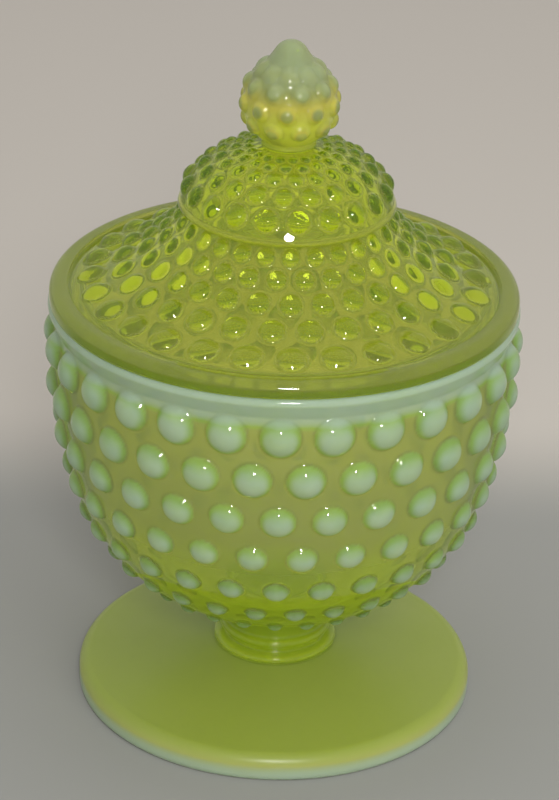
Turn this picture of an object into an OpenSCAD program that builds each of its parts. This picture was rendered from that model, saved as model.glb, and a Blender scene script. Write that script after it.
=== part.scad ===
// Footed covered candy dish in pressed hobnail glass.
// A round foot and a short collar carry a deep bowl.
// A loose domed lid with a ball knob rests on the rim of the bowl.
// All sizes are in millimetres. The foot stands on z = 0 and the axis of the dish is Z.

/* [Foot] */

// Diameter of the foot over its edge
foot_d = 125.2; // [100:0.2:140]
// Height of the foot where the collar stands on it
foot_h = 15; // [12:0.5:20]
// Height of the foot at its outer edge
foot_edge_h = 8.6; // [6:0.2:10]
// Rounding on the upper side of the outer edge
foot_edge_round = 4.3; // [2:0.1:5]
// Bevel on the lower side of the outer edge
foot_bevel = 0.8; // [0.3:0.1:1.5]
// Width of the ring that the foot stands on
foot_rest_w = 10; // [6:0.5:20]
// Depth of the hollow under the foot
foot_hollow = 4; // [1:0.5:6]

/* [Stem collar] */

// Diameter of the stem between foot and bowl
stem_d = 32; // [26:0.5:40]
// Height of the stem
stem_h = 13; // [11:0.5:20]
// How far the base bead of the stem stands out
base_bead_w = 3.4; // [2:0.1:5]
// Height of the base bead
base_bead_h = 2.4; // [2:0.1:3.5]
// Rounding of the base bead
base_bead_round = 1.4; // [0.6:0.1:1.8]
// Thickness of the ring round the stem
stem_ring_d = 3.2; // [2:0.1:4]

/* [Bowl] */

// Diameter of the bowl wall at its widest, without the hobnails
bowl_d = 139.4; // [130:0.2:150]
// Height of the bowl from the stem to the rim
bowl_h = 106.5; // [100:0.5:114]
// Thickness of the glass wall
bowl_wall = 5; // [4:0.1:6]
// Distance from the rim down to the widest place
belly_drop = 13.5; // [12:0.5:16]
// Height of the plain neck below the bowl
neck_h = 3; // [2:0.5:6]
// Radius of the curve that rounds the lower half of the wall
base_arc_r = 59; // [50:0.5:64]
// Slope of the wall where the side meets the lower curve, in degrees
side_turn = 14; // [10:0.5:18]
// How far the plain rim band stands out from the wall
rim_out = 2; // [1:0.1:3]
// Height of the plain rim band
rim_h = 7; // [6:0.1:7.5]
// Height of the slope from the wall out to the rim band
rim_flare = 3.5; // [2:0.1:4]
// Rounding of the upper edge of the rim band
rim_round = 2; // [1:0.1:2.5]

/* [Bowl hobnails] */

// Hobnails in each row round the bowl
bowl_hobs = 28; // [24:1:29]
// Rows of hobnails on the bowl
bowl_rows = 7; // [6:1:8]
// Share of the wall, from its widest place to the floor, that the rows reach down
bowl_reach = 0.686; // [0.6:0.002:0.72]
// Diameter of a hobnail in the top row as a share of the distance between rows
top_hob_fill = 0.86; // [0.7:0.01:0.92]
// Diameter of a hobnail in the bottom row as a share of the distance between rows
low_hob_fill = 0.36; // [0.25:0.01:0.45]
// How fast the hobnails shrink towards the bottom
hob_taper = 1.4; // [1:0.1:2]
// Height of a hobnail as a share of its diameter
hob_rise = 0.29; // [0.22:0.01:0.32]

/* [Lid] */

// How much less the lid is across than the rim of the bowl
lid_inset = 0.4; // [0:0.1:2]
// Height of the smooth band round the lid
band_h = 4.8; // [4:0.1:6]
// Width of the smooth band round the lid
band_w = 5.6; // [4:0.1:7]
// Rounding on the outside of the band
band_round = 3; // [2:0.1:3.5]
// How far the skirt starts below the top of the band
band_step = 1.2; // [0.5:0.1:2]
// Height of the skirt, from the rim of the bowl to the crown
skirt_h = 30.8; // [26:0.2:36]
// Radius of the hollow curve of the skirt
skirt_arc_r = 54.6; // [50:0.2:70]
// Diameter of the skirt where the crown sits on it
skirt_top_d = 58.8; // [54:0.2:60]
// Thickness of the glass of the lid
lid_wall = 5; // [4:0.1:5.5]
// Depth of the ring under the lid that drops into the bowl
locator_h = 4; // [3:0.5:6]
// Width of the ring under the lid
locator_w = 4.4; // [3.5:0.1:5]
// Free space between the ring under the lid and the mouth of the bowl
locator_gap = 0.6; // [0.4:0.1:1.5]
// Turn of the lid on the bowl, in degrees
lid_turn = 2.6; // [0:0.1:12]

/* [Crown] */

// Radius of the curve over the crown
crown_arc_r = 28.7; // [27:0.1:32]
// Distance of that curve's centre from the axis
crown_arc_x = 6; // [4:0.1:8]
// Height of that curve's centre below the top of the skirt
crown_arc_drop = 10.3; // [8:0.1:12]
// Thickness of the smooth bead round the lower edge of the crown
crown_bead_d = 2.8; // [2:0.1:3.5]

/* [Lid hobnails] */

// Hobnails in each ring on the skirt
skirt_hobs = 28; // [24:1:30]
// Rings of hobnails on the skirt
skirt_rows = 5; // [4:1:6]
// Share of the skirt, from the band up, where the first ring is
skirt_first = 0.167; // [0.15:0.001:0.18]
// Share of the skirt, from the band up, where the last ring is
skirt_last = 0.885; // [0.8:0.005:0.9]
// Diameter of a hobnail in the first ring as a share of its distance to the second ring
skirt_hob_fill = 0.91; // [0.7:0.01:0.93]
// Shrink of pitch and diameter from ring to ring on the skirt
skirt_shrink = 0.865; // [0.82:0.005:0.9]
// Hobnails in each ring on the crown
crown_hobs = 20; // [16:1:20]
// Rings of hobnails on the crown
crown_rows = 5; // [4:1:5]
// Slope of the crown at its first ring, in degrees
crown_first = 34; // [33:0.5:36]
// Slope of the crown at its last ring, in degrees
crown_last = 78; // [74:0.5:79]
// Diameter of a hobnail in the first ring on the crown as a share of its distance to the second
crown_hob_fill = 0.92; // [0.8:0.01:1.03]
// Shrink of pitch and diameter from ring to ring on the crown
crown_shrink = 0.8; // [0.76:0.01:0.82]
// Turn of the crown's first ring, in degrees
crown_turn = 4; // [0:0.5:18]

/* [Knob] */

// Diameter of the ball without its hobnails
knob_d = 28; // [26:0.1:30]
// Diameter of the neck under the ball
knob_neck_d = 16.4; // [14:0.1:18]
// How deep the ball is set into the crown
knob_sink = 0.6; // [0.3:0.1:1.5]
// Hobnails in each row round the knob
knob_hobs = 10; // [8:1:10]
// Rows of hobnails on the knob
knob_rows = 4; // [3:1:4]
// Angle of the lowest row below the middle of the ball
knob_first = -23.5; // [-26:0.5:-20]
// Angle from row to row
knob_row_step = 25; // [24:0.5:26]
// Diameter of a hobnail at the middle of the knob
knob_hob_d = 4.9; // [4:0.1:5.2]
// Largest diameter of a hobnail on the knob as a share of the space it has in its row
knob_hob_fill = 0.92; // [0.7:0.01:0.95]
// Height of a hobnail on the knob
knob_hob_h = 1.6; // [0.9:0.1:1.8]
// Diameter of the hobnail on top
knob_top_d = 10.9; // [10:0.1:11.2]
// Height of the hobnail on top
knob_top_h = 5; // [4.4:0.1:5.4]
// Turn of the knob's first row, in degrees
knob_turn = 12.5; // [-18:0.5:18]

/* [Hidden] */

$fn = 64;
// Steps round the wide curves
arc_fn = 360;
// Small overshoot that keeps a cutting shape clear of the face it cuts
eps = 1;

foot_r = foot_d / 2;
stem_r = stem_d / 2;
base_bead_r = stem_r + base_bead_w;
rest_in_r = foot_r - foot_bevel - foot_rest_w;
hollow_r = (rest_in_r * rest_in_r + foot_hollow * foot_hollow) / (2 * foot_hollow);

// Heights from the table up
bowl_z = foot_h + stem_h;
rim_z = bowl_z + bowl_h;
belly_z = rim_z - belly_drop;
floor_z = bowl_z + neck_h;

// Wall of the bowl: a long side curve that runs into a rounder lower curve
bowl_r = bowl_d / 2;
rim_r = bowl_r + rim_out;
mouth_r = bowl_r - bowl_wall;
side_arc_r = (belly_z - floor_z - base_arc_r * (1 - sin(side_turn))) / sin(side_turn);
side_c = [bowl_r - side_arc_r, belly_z];
base_c = side_c + (side_arc_r - base_arc_r) * [cos(side_turn), -sin(side_turn)];
side_len = side_arc_r * side_turn * PI / 180;
wall_len = side_len + base_arc_r * (90 - side_turn) * PI / 180;
bowl_row_pitch = wall_len * bowl_reach / (bowl_rows - 1);
turn_z = base_c[1] - base_arc_r * sin(side_turn);
rim_low_z = rim_z - rim_h;
rim_low_r = side_c[0] + sqrt(side_arc_r * side_arc_r - pow(rim_low_z - belly_z, 2));
turn_in_z = base_c[1] - (base_arc_r - bowl_wall) * sin(side_turn);

// Lid: a smooth band, a hollow skirt and a round crown
lid_r = rim_r - lid_inset;
locator_r = mouth_r - locator_gap;
lid_mouth_r = locator_r - locator_w;
band_z = rim_z + band_h;
crown_z = rim_z + skirt_h;
skirt_low = [lid_r - band_w, band_z - band_step];
skirt_top = [skirt_top_d / 2, crown_z];
skirt_chord = norm(skirt_top - skirt_low);
skirt_out = [skirt_top[1] - skirt_low[1], skirt_low[0] - skirt_top[0]] / skirt_chord;
skirt_c = (skirt_low + skirt_top) / 2
    + sqrt(skirt_arc_r * skirt_arc_r - skirt_chord * skirt_chord / 4) * skirt_out;
skirt_start = atan2(skirt_low[1] - skirt_c[1], skirt_low[0] - skirt_c[0]);
skirt_sweep = 2 * asin(skirt_chord / (2 * skirt_arc_r));
skirt_hob_d = skirt_hob_fill * skirt_arc_r * skirt_sweep * PI / 180
    * (skirt_last - skirt_first) * ring_share(skirt_shrink, skirt_rows, 1);
skirt_in_r = skirt_arc_r + lid_wall;
skirt_in_top = skirt_c[0] - sqrt(skirt_in_r * skirt_in_r - pow(skirt_c[1] - crown_z, 2));

// Crown, with the flat that the knob stands on
crown_c = [crown_arc_x, crown_z - crown_arc_drop];
crown_hob_d = crown_hob_fill * crown_arc_r * (crown_last - crown_first) * PI / 180
    * ring_share(crown_shrink, crown_rows, 1);
crown_edge_r = crown_c[0] + sqrt(crown_arc_r * crown_arc_r - crown_arc_drop * crown_arc_drop);
knob_neck_r = knob_neck_d / 2;
knob_z = crown_c[1] + sqrt(crown_arc_r * crown_arc_r - pow(knob_neck_r - crown_c[0], 2));
dome_h = knob_z - lid_wall - crown_z;
dome_r = (skirt_in_top * skirt_in_top + dome_h * dome_h) / (2 * dome_h);

knob_r = knob_d / 2;
knob_c_z = knob_z - knob_sink + knob_r;

half_bowl_turn = 180 / bowl_hobs;
half_skirt_turn = 180 / skirt_hobs;
half_crown_turn = 180 / crown_hobs;
half_knob_turn = 180 / knob_hobs;

// Angle round the axis that the front of the dish faces
front = -90;

// Share of the way from the first ring to the last of n at which ring k comes, when the pitch shrinks by q
function ring_share(q, n, k) = (1 - pow(q, k)) / (1 - pow(q, n - 1));

// Slope of the outward normal at distance s down the bowl wall from its widest place
function wall_lean(s) = s < side_len
    ? -s / side_arc_r * 180 / PI
    : -side_turn - (s - side_len) / base_arc_r * 180 / PI;

// Radius and height of the bowl wall at distance s
function wall_at(s) = s < side_len
    ? side_c + side_arc_r * [cos(wall_lean(s)), sin(wall_lean(s))]
    : base_c + base_arc_r * [cos(wall_lean(s)), sin(wall_lean(s))];

// Diameter of a hobnail in row k of the bowl
function bowl_hob_d(k) = bowl_row_pitch
    * (top_hob_fill - (top_hob_fill - low_hob_fill) * pow(k / (bowl_rows - 1), hob_taper));

// A dome of glass that stands h above the origin and is d across there
module hob(d, h) {
    r = (d * d / 4 + h * h) / (2 * h);
    translate([0, 0, h - r])
        sphere(r = r);
}

// A ring of n hobnails at radius r and height z, each leaning up by lean degrees
module hob_ring(n, at, lean, d, h, turn) {
    for (i = [0 : n - 1])
        rotate([0, 0, front + turn + i * 360 / n])
            translate([at[0], 0, at[1]])
                rotate([0, 90 - lean, 0])
                    hob(d, h);
}

// A ring section between two radii and two heights, rounded at its upper outer corner
module round_top(r0, r1, z0, z1, round) {
    translate([r0, z0])
        square([r1 - r0, z1 - z0 - round]);
    translate([r0, z0])
        square([r1 - r0 - round, z1 - z0]);
    translate([r1 - round, z1 - round])
        intersection() {
            circle(r = round);
            square(round);
        }
}

// Part of a disc between two heights, on the outer side of the axis
module disc_slice(c, r, z0, z1) {
    intersection() {
        translate(c)
            circle(r = r, $fn = arc_fn);
        translate([0, z0])
            square([c[0] + r + eps, z1 - z0]);
    }
}

module foot() {
    color([0.62, 0.70, 0.30])
        rotate_extrude()
            difference() {
                union() {
                    round_top(0, foot_r, foot_bevel, foot_edge_h, foot_edge_round);
                    polygon([
                        [0, 0],
                        [foot_r - foot_bevel, 0],
                        [foot_r, foot_bevel],
                        [foot_r - foot_edge_round, foot_edge_h],
                        [base_bead_r, foot_h],
                        [0, foot_h]
                    ]);
                }
                translate([0, foot_hollow - hollow_r])
                    circle(r = hollow_r, $fn = arc_fn);
            }
}

module stem_collar() {
    color([0.60, 0.74, 0.12])
        rotate_extrude() {
            translate([0, foot_h])
                square([stem_r, stem_h]);
            round_top(0, base_bead_r, foot_h, foot_h + base_bead_h, base_bead_round);
            translate([stem_r, foot_h + base_bead_h + stem_ring_d])
                circle(d = stem_ring_d);
        }
}

module bowl_outside() {
    translate([0, bowl_z])
        square([stem_r, base_c[1] - bowl_z]);
    disc_slice(base_c, base_arc_r, floor_z, turn_z);
    disc_slice(side_c, side_arc_r, turn_z, rim_low_z + rim_flare);
    polygon([
        [0, rim_low_z],
        [rim_low_r, rim_low_z],
        [rim_r, rim_low_z + rim_flare],
        [0, rim_low_z + rim_flare]
    ]);
    round_top(0, rim_r, rim_low_z + rim_flare, rim_z, rim_round);
}

module bowl_inside() {
    if (base_c[0] > 0)
        translate([0, floor_z + bowl_wall])
            square([base_c[0], base_arc_r - bowl_wall]);
    disc_slice(base_c, base_arc_r - bowl_wall, floor_z + bowl_wall, turn_in_z);
    disc_slice(side_c, side_arc_r - bowl_wall, turn_in_z, belly_z);
    translate([0, belly_z])
        square([mouth_r, belly_drop + eps]);
}

module bowl() {
    color([0.66, 0.82, 0.36])
        difference() {
            union() {
                rotate_extrude()
                    bowl_outside();
                for (k = [0 : bowl_rows - 1])
                    bowl_ring(k);
            }
            rotate_extrude()
                bowl_inside();
        }
}

module bowl_ring(k) {
    s = k * bowl_row_pitch;
    d = bowl_hob_d(k);
    hob_ring(bowl_hobs, wall_at(s), wall_lean(s), d, d * hob_rise, (k % 2) * half_bowl_turn);
}

module lid_outside() {
    round_top(skirt_low[0], lid_r, rim_z, band_z, band_round);
    translate([0, rim_z - locator_h])
        square([locator_r, locator_h]);
    difference() {
        translate([0, rim_z])
            square([skirt_low[0], skirt_h]);
        translate(skirt_c)
            circle(r = skirt_arc_r, $fn = arc_fn);
    }
    translate([0, crown_z])
        square([knob_neck_r, knob_z - crown_z]);
    disc_slice(crown_c, crown_arc_r, crown_z, knob_z);
    translate([crown_edge_r - crown_bead_d / 2, crown_z])
        circle(d = crown_bead_d);
}

module lid_inside() {
    difference() {
        translate([0, rim_z - locator_h - eps])
            square([lid_mouth_r, skirt_h + locator_h + eps]);
        translate(skirt_c)
            circle(r = skirt_in_r, $fn = arc_fn);
    }
    disc_slice([0, crown_z + dome_h - dome_r], dome_r, crown_z, crown_z + dome_h);
}

module lid() {
    color([0.70, 0.80, 0.20])
        rotate([0, 0, lid_turn])
            difference() {
                union() {
                    rotate_extrude()
                        lid_outside();
                    for (k = [0 : skirt_rows - 1])
                        skirt_ring(k);
                    for (k = [0 : crown_rows - 1])
                        crown_ring(k);
                }
                rotate_extrude()
                    lid_inside();
            }
}

module skirt_ring(k) {
    share = skirt_first + (skirt_last - skirt_first) * ring_share(skirt_shrink, skirt_rows, k);
    a = skirt_start - skirt_sweep * share;
    d = skirt_hob_d * pow(skirt_shrink, k);
    hob_ring(
        skirt_hobs,
        skirt_c + skirt_arc_r * [cos(a), sin(a)],
        a + 180,
        d,
        d * hob_rise,
        (k % 2) * half_skirt_turn
    );
}

module crown_ring(k) {
    a = crown_first + (crown_last - crown_first) * ring_share(crown_shrink, crown_rows, k);
    d = crown_hob_d * pow(crown_shrink, k);
    hob_ring(
        crown_hobs,
        crown_c + crown_arc_r * [cos(a), sin(a)],
        a,
        d,
        d * hob_rise,
        crown_turn + (k % 2) * half_crown_turn
    );
}

module knob_ring(k) {
    a = knob_first + k * knob_row_step;
    room = 2 * PI * knob_r * cos(a) / knob_hobs;
    hob_ring(
        knob_hobs,
        [knob_r * cos(a), knob_c_z + knob_r * sin(a)],
        a,
        min(knob_hob_d, knob_hob_fill * room),
        knob_hob_h,
        knob_turn + (k % 2) * half_knob_turn
    );
}

module knob() {
    color([0.72, 0.84, 0.44])
        rotate([0, 0, lid_turn]) {
            difference() {
                translate([0, 0, knob_c_z])
                    sphere(r = knob_r);
                translate([0, 0, knob_z - knob_r])
                    cylinder(r = knob_r, h = knob_r);
            }
            translate([0, 0, knob_z])
                cylinder(r = knob_neck_r, h = knob_r);
            for (k = [0 : knob_rows - 1])
                knob_ring(k);
            translate([0, 0, knob_c_z + knob_r])
                hob(knob_top_d, knob_top_h);
        }
}

foot();
stem_collar();
bowl();
lid();
knob();
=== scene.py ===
import math

import bpy
import numpy as np
from bpy.props import FloatProperty, FloatVectorProperty, IntProperty, PointerProperty
from mathutils import Matrix, Vector


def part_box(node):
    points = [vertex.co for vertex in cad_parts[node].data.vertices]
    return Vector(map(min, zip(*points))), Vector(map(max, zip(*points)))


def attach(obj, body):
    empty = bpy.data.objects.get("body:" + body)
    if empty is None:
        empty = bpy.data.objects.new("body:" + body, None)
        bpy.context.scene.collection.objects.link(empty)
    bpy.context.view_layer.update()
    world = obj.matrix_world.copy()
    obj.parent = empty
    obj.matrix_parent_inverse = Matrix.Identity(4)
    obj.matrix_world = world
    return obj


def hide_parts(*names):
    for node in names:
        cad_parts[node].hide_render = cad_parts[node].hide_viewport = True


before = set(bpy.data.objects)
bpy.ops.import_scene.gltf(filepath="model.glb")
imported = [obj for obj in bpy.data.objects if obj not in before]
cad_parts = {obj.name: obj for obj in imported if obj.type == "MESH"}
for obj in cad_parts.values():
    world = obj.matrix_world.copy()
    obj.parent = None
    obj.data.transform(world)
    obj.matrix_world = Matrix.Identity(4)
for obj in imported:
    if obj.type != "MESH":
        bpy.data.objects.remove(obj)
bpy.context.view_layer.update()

bl_info = {
    "name": "Hobnail candy dish",
    "version": (1, 0, 0),
    "blender": (4, 5, 0),
    "location": "View3D > Sidebar > Candy dish",
    "description": "Builds a footed covered candy dish in opalescent hobnail glass",
    "category": "Add Mesh",
}

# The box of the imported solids, and the heights and radii that the glass takes from them
FOOT_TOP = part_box("foot")[1]
STEM_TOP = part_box("stem_collar")[1]
BOWL_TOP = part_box("bowl")[1]

# What the lights face
DISH_MIDDLE = Vector((0, 0, 0.1))
# Angle round the axis that the front of the dish faces
FRONT = -math.pi / 2
# Columns round fine, plain and narrow glass, each half of the one before, and round its middle
FINE, PLAIN, NARROW, CORE = 784, 392, 196, 49
# Distance between the rings of points along fine and plain stretches
FINE_STEP, PLAIN_STEP = 0.00055, 0.0012
# Free space drawn between two pieces of glass that touch, so that no two faces lie in one place
HAIR = 0.00002
# Depth that no hobnail reaches, for points that its sphere misses
BELOW_ALL = -1.0


def length(label, text, default):
    """A size in metres."""
    return FloatProperty(name=label, description=text, default=default, min=0.0, precision=5, unit="LENGTH")


def turn(label, text, degrees):
    """An angle, written in degrees."""
    return FloatProperty(name=label, description=text, default=math.radians(degrees), subtype="ANGLE")


def share(label, text, default):
    """A plain number."""
    return FloatProperty(name=label, description=text, default=default, precision=4)


def count(label, text, default):
    """A number of like things."""
    return IntProperty(name=label, description=text, default=default, min=1)


def colour(label, text, default):
    """A colour in linear light."""
    return FloatVectorProperty(
        name=label, description=text, default=default, size=3, min=0.0, max=1.0, subtype="COLOR"
    )


class FootSizes(bpy.types.PropertyGroup):
    """Sizes of the foot."""

    radius: length("Radius", "Radius of the foot over its edge", FOOT_TOP.x)
    height: length("Height", "Height where the collar stands on the foot", FOOT_TOP.z)
    edge_height: length("Edge height", "Height at the outer edge", 0.0086)
    edge_round: length("Edge rounding", "Rounding on the upper side of the edge", 0.0043)
    bevel: length("Bevel", "Bevel on the lower side of the edge", 0.0008)
    rest_width: length("Rest width", "Width of the ring that the foot stands on", 0.010)
    hollow: length("Hollow", "Depth of the hollow underneath", 0.004)
    pale_width: length("Pale width", "Width of the pale edge", 0.005)
    pale_height: length("Pale height", "Height where the edge is palest", 0.002)


class CollarSizes(bpy.types.PropertyGroup):
    """Sizes of the short stem between foot and bowl."""

    radius: length("Radius", "Radius of the stem", 0.016)
    bead_radius: length("Bead radius", "Radius of the bead at the base", STEM_TOP.x)
    bead_height: length("Bead height", "Height of the bead at the base", 0.0024)
    bead_round: length("Bead rounding", "Rounding of the bead at the base", 0.0014)
    ring_radius: length("Ring radius", "Radius of the section of the ring round the stem", 0.0016)


class BowlSizes(bpy.types.PropertyGroup):
    """Sizes of the bowl and its hobnails."""

    radius: length("Radius", "Radius of the wall at its widest, without hobnails", 0.0697)
    wall: length("Wall", "Thickness of the glass", 0.005)
    belly_drop: length("Belly drop", "Distance from the rim down to the widest place", 0.0135)
    neck_height: length("Neck height", "Height of the plain neck below the bowl", 0.003)
    neck_round: length("Neck rounding", "Rounding between the neck and the bowl", 0.002)
    base_arc: length("Base curve", "Radius of the curve of the lower half", 0.059)
    side_turn: turn("Side turn", "Slope of the wall where the side meets the lower curve", 14)
    rim_radius: length("Rim radius", "Radius of the plain rim band", 0.0717)
    rim_height: length("Rim height", "Height of the plain rim band", 0.007)
    rim_flare: length("Rim flare", "Height of the slope from the wall out to the rim band", 0.0048)
    rim_round: length("Rim rounding", "Rounding of the upper edge of the rim band", 0.002)
    rim_fade: length("Rim fade", "How far down the wall the milk of the rim fades", 0.0065)
    lip_round: length("Lip rounding", "Rounding of the inner edge of the mouth", 0.0008)
    hobs: count("Hobnails", "Hobnails in each row", 28)
    rows: count("Rows", "Rows of hobnails", 7)
    reach: share("Reach", "Share of the wall that the rows reach down", 0.686)
    top_fill: share("Top fill", "Diameter of a top hobnail as a share of the row pitch", 0.86)
    low_fill: share("Low fill", "Diameter of a bottom hobnail as a share of the row pitch", 0.36)
    taper: share("Taper", "How fast the hobnails shrink towards the bottom", 1.4)


class LidSizes(bpy.types.PropertyGroup):
    """Sizes of the lid and its hobnails."""

    radius: length("Radius", "Radius of the lid over its band", 0.0713)
    band_height: length("Band height", "Height of the smooth band", 0.0048)
    band_width: length("Band width", "Width of the smooth band", 0.0056)
    band_round: length("Band rounding", "Rounding on the outside of the band", 0.003)
    band_step: length("Band step", "How far the skirt starts below the band", 0.0012)
    skirt_height: length("Skirt height", "Height from the rim to the crown", 0.0308)
    skirt_arc: length("Skirt curve", "Radius of the hollow curve of the skirt", 0.0546)
    skirt_top: length("Skirt top", "Radius of the skirt where the crown sits", 0.0294)
    wall: length("Wall", "Thickness of the glass", 0.005)
    locator_height: length("Locator height", "Depth of the ring that drops into the bowl", 0.004)
    locator_radius: length("Locator radius", "Radius of the ring that drops into the bowl", 0.0641)
    locator_width: length("Locator width", "Width of the ring that drops into the bowl", 0.0044)
    crown_arc: length("Crown curve", "Radius of the curve over the crown", 0.0287)
    crown_offset: length("Crown offset", "Distance of that curve's centre from the axis", 0.006)
    crown_drop: length("Crown drop", "Height of that centre below the top of the skirt", 0.0103)
    crown_bead: length("Crown bead", "Radius of the bead round the edge of the crown", 0.0014)
    turn: turn("Turn", "Turn of the lid on the bowl", 2.6)
    skirt_hobs: count("Skirt hobnails", "Hobnails in each ring on the skirt", 28)
    skirt_rows: count("Skirt rings", "Rings of hobnails on the skirt", 5)
    skirt_first: share("First ring", "Share of the skirt where the first ring is", 0.167)
    skirt_last: share("Last ring", "Share of the skirt where the last ring is", 0.885)
    skirt_fill: share("Skirt fill", "Diameter of a first-ring hobnail as a share of the pitch", 0.91)
    skirt_shrink: share("Skirt shrink", "Shrink from ring to ring on the skirt", 0.865)
    crown_hobs: count("Crown hobnails", "Hobnails in each ring on the crown", 20)
    crown_rows: count("Crown rings", "Rings of hobnails on the crown", 5)
    crown_first: turn("Crown first", "Slope of the crown at its first ring", 34)
    crown_last: turn("Crown last", "Slope of the crown at its last ring", 78)
    crown_fill: share("Crown fill", "Diameter of a first-ring hobnail as a share of the pitch", 0.92)
    crown_shrink: share("Crown shrink", "Shrink from ring to ring on the crown", 0.8)
    crown_turn: turn("Crown turn", "Turn of the crown's first ring", 4)


class KnobSizes(bpy.types.PropertyGroup):
    """Sizes of the knob and its hobnails."""

    radius: length("Radius", "Radius of the ball without its hobnails", 0.014)
    neck: length("Neck", "Radius of the neck under the ball", 0.0082)
    neck_round: length("Neck rounding", "Rounding between the neck and the ball", 0.0008)
    sink: length("Sink", "How deep the ball is set into the crown", 0.0006)
    hobs: count("Hobnails", "Hobnails in each row", 10)
    rows: count("Rows", "Rows of hobnails", 4)
    first: turn("First row", "Angle of the lowest row below the middle of the ball", -23.5)
    step: turn("Row step", "Angle from row to row", 25)
    turn: turn("Turn", "Turn of the first row", 12.5)
    hob_width: length("Hobnail width", "Diameter of a hobnail at the middle", 0.0049)
    hob_fill: share("Hobnail fill", "Largest diameter as a share of the space in the row", 0.92)
    hob_height: length("Hobnail height", "Height of a hobnail", 0.0016)
    top_width: length("Top width", "Diameter of the hobnail on top", 0.0109)
    top_height: length("Top height", "Height of the hobnail on top", 0.005)
    top_fillet: length("Top fillet", "Rounding between the ball and the hobnail on top", 0.03)
    top_melt: share("Top melt", "How much lower the hobnails of the top row stand, melted into the tip", 0.3)
    hob_fillet: length("Hobnail fillet", "Soft edge round the hobnails of the knob", 0.002)


class GlassLook(bpy.types.PropertyGroup):
    """Colours and finish of the glass, with its painted glows and painted glint lines."""

    hob_rise: share("Hobnail rise", "Height of a hobnail as a share of its diameter", 0.29)
    hob_fillet: length("Hobnail fillet", "Reach of the soft edge round a hobnail", 0.0006)
    tint: colour("Tint", "What the clear glass lets through", (0.895, 0.938, 0.15))
    density: share("Density", "Strength of the tint for each metre of glass", 260.0)
    bowl_glow: colour("Bowl glow", "Scattered light in the clear glass of the bowl", (0.33, 0.41, 0.02))
    lid_glow: colour("Lid glow", "Scattered light in the hobnails of the lid", (0.25, 0.33, 0.01))
    lid_haze: colour("Lid haze", "Haze in the lid between its hobnails", (0.31, 0.285, 0.06))
    # Painted glints: pale lines round the lid's hobnails that stand in for light caught at their edges.
    lid_painted_glint_line: colour("Lid line", "Pale lines round the hobnails of the lid", (0.42, 0.42, 0.12))
    # Painted light: the stem's glow is made brighter to lift the shade that the bowl casts over it.
    stem_glow: colour("Stem glow", "Scattered light in the clear glass of the stem", (0.50, 0.62, 0.03))
    knob_glow: colour("Knob glow", "Scattered light in the clear glass of the knob", (0.74, 0.70, 0.12))
    knob_amber: colour("Knob amber", "Warm edge of the milk in the knob", (0.60, 0.50, 0.10))
    # Painted glow: a faint lime light that the clear glass gives out, which lifts its dark refractions and
    # lowers their contrast.
    painted_glow: colour("Shine", "Light that the glass gives back by itself", (0.62, 0.78, 0.03))
    painted_glow_level: share("Shine level", "Strength of that light", 0.04)
    # Painted glow: an even light that the milky glass gives out, standing in for light spread inside it and
    # flattening its shading.
    milk_painted_glow_level: share("Milk level", "Strength of the light that spreads inside milky glass", 0.08)
    milk_depth: share("Milk depth", "Share of the light that sinks into milky glass", 0.85)
    milk_spread: length("Milk spread", "How far light spreads inside milky glass", 0.006)
    foot_milk: colour("Foot milk", "Milky glass of the foot", (0.24, 0.292, 0.038))
    # Painted glow: a warm line on the rounding of the foot, standing in for light coming through its thin
    # edge.
    foot_painted_glow_line: colour("Foot gold", "Warm line on the rounding of the foot", (0.34, 0.36, 0.10))
    haze: colour("Haze", "Haze in glass that is hardly struck", (0.27, 0.285, 0.12))
    # Leaf is a real stage of struck glass and also the colour of the painted glow in milky glass.
    leaf_and_glow: colour("Leaf", "Struck glass that is milky and still green", (0.25, 0.40, 0.10))
    opal: colour("Opal", "Struck glass at its whitest", (0.34, 0.44, 0.355))
    amber: colour("Amber", "Light that comes through struck glass", (1.0, 0.88, 0.6))


class MilkShares(bpy.types.PropertyGroup):
    """How much milk the glass has in each place and how far it was struck there, some of it a painted glint
    line or painted shade.
    """

    foot: share("Foot", "Milk in the foot", 0.98)
    foot_strike: share("Foot strike", "How far the foot was struck", 0.03)
    foot_edge: share("Foot edge", "How much further its edge was struck", 0.57)
    stem: share("Stem", "Milk in the stem", 0.3)
    bowl: share("Bowl", "Milk in the wall of the bowl, low down", 0.18)
    bowl_upper: share("Bowl upper", "Further milk in the wall of the bowl, high up", 0.30)
    # Partly real milk at the edges of the bowl's hobnails, partly a painted pale glint outline over their
    # dark refracted rims.
    hob_edge_milk_and_glint: share("Hobnail edge", "Milk at the edge of the bowl's hobnails", 0.28)
    hob_core: share("Hobnail core", "Further milk in the middle of the bowl's hobnails", 0.20)
    hob_strike: share("Hobnail strike", "How near that middle comes to the whitest stage", 0.9)
    low_rows: share("Low rows", "Milk of the lowest hobnails as a share of the others", 0.75)
    rim: share("Rim", "Milk in the rim of the bowl", 0.8)
    lip: share("Lip", "Milk inside the mouth of the bowl", 0.10)
    lid: share("Lid", "Milk in the wall of the lid", 0.22)
    # Painted glints: the milk of the pale line round each lid hobnail stands in for light caught at its edge.
    lid_painted_glint_line: share("Lid line", "Further milk in the line round a hobnail of the lid", 0.15)
    lid_core: share("Lid core", "How much less of it the lid's hobnails have", 0.30)
    lid_low_core: share("Lid low core", "How much of that the lowest ring gets back", 0.15)
    band: share("Band", "Milk in the band of the lid", 0.24)
    # Painted shade: milk on the hidden seat under the lid's band, which dims the light that the band carries
    # round.
    band_strike: share("Band strike", "How far that band was struck", 0.55)
    seat: share("Seat", "Milk under the band of the lid", 0.9)
    knob: share("Knob", "Milk in the lower half of the knob", 0.40)
    knob_upper: share("Knob upper", "Further milk in the upper half of the knob", 0.36)
    knob_tips: share("Knob tips", "Further milk in the lower hobnails of the knob", 0.12)
    knob_strike: share("Knob strike", "How far the upper half of the knob was struck", 0.75)
    knob_tip_strike: share("Knob tip strike", "How far the lower hobnails of the knob were struck", 0.62)


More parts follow.
